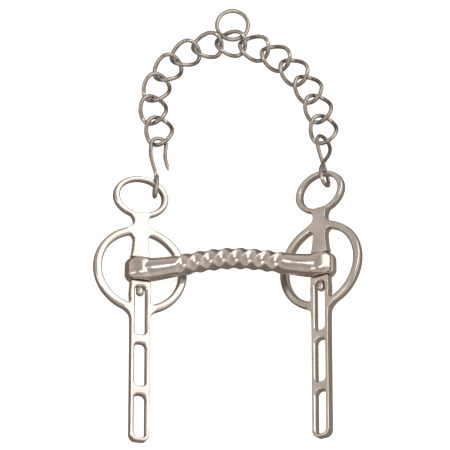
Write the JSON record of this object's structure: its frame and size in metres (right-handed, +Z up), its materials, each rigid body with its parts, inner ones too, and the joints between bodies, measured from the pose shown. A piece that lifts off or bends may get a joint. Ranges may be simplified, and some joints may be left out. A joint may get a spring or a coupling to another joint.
{
  "type": "curb_bit",
  "caption": "Liverpool-type driving curb bit with swivel ring cheeks, slotted shanks, an arched twisted mouthpiece and a twisted curb chain on a hook, in polished steel.",
  "frame": {"origin": "on the surface the bit lies on, below the middle of the whole object", "axes": "X along the mouthpiece, Y up the cheeks towards the curb chain, Z up from the surface"},
  "size_m": [0.1938, 0.3443, 0.0445],
  "materials": {
    "polished_stainless_cast": "cast and polished, worn",
    "polished_stainless_wire": "drawn, bent and tumbled bright"
  },
  "bodies": {
    "mouthpiece": {"mouthpiece": "polished_stainless_cast"},
    "left_cheek": {"left_cheek": "polished_stainless_cast", "left_pivot_pin": "polished_stainless_cast"},
    "right_cheek": {"right_cheek": "polished_stainless_cast", "right_pivot_pin": "polished_stainless_cast"},
    "curb_hook": {"curb_hook": "polished_stainless_wire"},
    "figure_eight_link": {"figure_eight_link": "polished_stainless_wire"},
    "fly_link": {"fly_link": "polished_stainless_wire"},
    "curb_link_01": {"curb_link_01": "polished_stainless_wire"},
    "curb_link_02": {"curb_link_02": "polished_stainless_wire"},
    "curb_link_03": {"curb_link_03": "polished_stainless_wire"},
    "curb_link_04": {"curb_link_04": "polished_stainless_wire"},
    "curb_link_05": {"curb_link_05": "polished_stainless_wire"},
    "curb_link_06": {"curb_link_06": "polished_stainless_wire"},
    "curb_link_07": {"curb_link_07": "polished_stainless_wire"},
    "curb_link_08": {"curb_link_08": "polished_stainless_wire"},
    "curb_link_09": {"curb_link_09": "polished_stainless_wire"},
    "curb_link_10": {"curb_link_10": "polished_stainless_wire"},
    "curb_link_11": {"curb_link_11": "polished_stainless_wire"},
    "curb_link_12": {"curb_link_12": "polished_stainless_wire"},
    "curb_link_13": {"curb_link_13": "polished_stainless_wire"}
  },
  "joints": [
    {"name": "left_swivel", "type": "hinge", "parent": "mouthpiece", "child": "left_cheek", "pos_m": [-0.06302, -0.04065, 0.0131], "axis": [0, 1, 0], "range_deg": [-1, 60]},
    {"name": "right_swivel", "type": "hinge", "parent": "mouthpiece", "child": "right_cheek", "pos_m": [0.06766, -0.04065, 0.02229], "axis": [0, -1, 0], "range_deg": [-8, 32]},
    {"name": "hook_turn", "type": "hinge", "parent": "left_cheek", "child": "curb_hook", "pos_m": [-0.05215, 0.02785, 0.00967], "axis": [0.5259, -0.8419, -0.121], "range_deg": [-1.5, 38]},
    {"name": "eight_turn", "type": "hinge", "parent": "right_cheek", "child": "figure_eight_link", "pos_m": [0.07181, 0.03038, 0.0253], "axis": [-0.025, 0.9458, 0.3239], "range_deg": [-5, 18]},
    {"name": "chain_swing", "type": "hinge", "parent": "mouthpiece", "child": "curb_link_07", "pos_m": [0.01073, 0.06487, 0.0054], "axis": [0.9999, 0.0103, 0.003], "range_deg": [-40, 6]},
    {"name": "link_01_rock", "type": "hinge", "parent": "curb_link_07", "child": "curb_link_01", "pos_m": [-0.04998, 0.07315, 0.00558], "axis": [-0.1045, 0.9945, 0], "range_deg": [-15, 1]},
    {"name": "link_02_rock", "type": "hinge", "parent": "curb_link_07", "child": "curb_link_02", "pos_m": [-0.05435, 0.0902, 0.00558], "axis": [-0.0617, 0.9981, 0], "range_deg": [-6, 15]},
    {"name": "link_03_rock", "type": "hinge", "parent": "curb_link_07", "child": "curb_link_03", "pos_m": [-0.05211, 0.10766, 0.00558], "axis": [0.3034, 0.9529, 0], "range_deg": [-12, 8]},
    {"name": "link_04_rock", "type": "hinge", "parent": "curb_link_07", "child": "curb_link_04", "pos_m": [-0.04385, 0.1232, 0.00558], "axis": [0.6132, 0.7899, 0], "range_deg": [-15, 15]},
    {"name": "link_05_rock", "type": "hinge", "parent": "curb_link_07", "child": "curb_link_05", "pos_m": [-0.03084, 0.13506, 0.00558], "axis": [0.8381, 0.5455, 0], "range_deg": [-15, 15]},
    {"name": "link_06_rock", "type": "hinge", "parent": "curb_link_07", "child": "curb_link_06", "pos_m": [-0.01473, 0.14215, 0.00558], "axis": [0.966, 0.2585, 0], "range_deg": [-15, 15]},
    {"name": "link_08_rock", "type": "hinge", "parent": "curb_link_07", "child": "curb_link_08", "pos_m": [0.02008, 0.14089, 0.00558], "axis": [0.9507, -0.31, 0], "range_deg": [-15, 0.5]},
    {"name": "link_09_rock", "type": "hinge", "parent": "curb_link_07", "child": "curb_link_09", "pos_m": [0.03592, 0.13323, 0.00558], "axis": [0.8385, -0.5449, 0], "range_deg": [-15, 15]},
    {"name": "link_10_rock", "type": "hinge", "parent": "curb_link_07", "child": "curb_link_10", "pos_m": [0.04936, 0.12186, 0.00558], "axis": [0.6828, -0.7306, 0], "range_deg": [-15, 15]},
    {"name": "link_11_rock", "type": "hinge", "parent": "curb_link_07", "child": "curb_link_11", "pos_m": [0.05979, 0.10769, 0.00558], "axis": [0.5027, -0.8644, 0], "range_deg": [-15, 15]},
    {"name": "link_12_rock", "type": "hinge", "parent": "curb_link_07", "child": "curb_link_12", "pos_m": [0.06695, 0.09161, 0.00558], "axis": [0.3147, -0.9492, 0], "range_deg": [-15, 15]},
    {"name": "link_13_rock", "type": "hinge", "parent": "curb_link_07", "child": "curb_link_13", "pos_m": [0.07082, 0.07444, 0.00558], "axis": [0.0698, -0.9976, 0], "range_deg": [-15, 15]},
    {"name": "fly_swing", "type": "hinge", "parent": "curb_link_07", "child": "fly_link", "pos_m": [0.003, 0.15054, 0.00558], "axis": [0.9994, -0.036, 0], "range_deg": [-20, 18]}
  ],
  "couplings": [
    {"joint": "hook_turn", "follows": "left_swivel", "ratio": 0.615},
    {"joint": "eight_turn", "follows": "right_swivel", "ratio": 0.53}
  ]
}
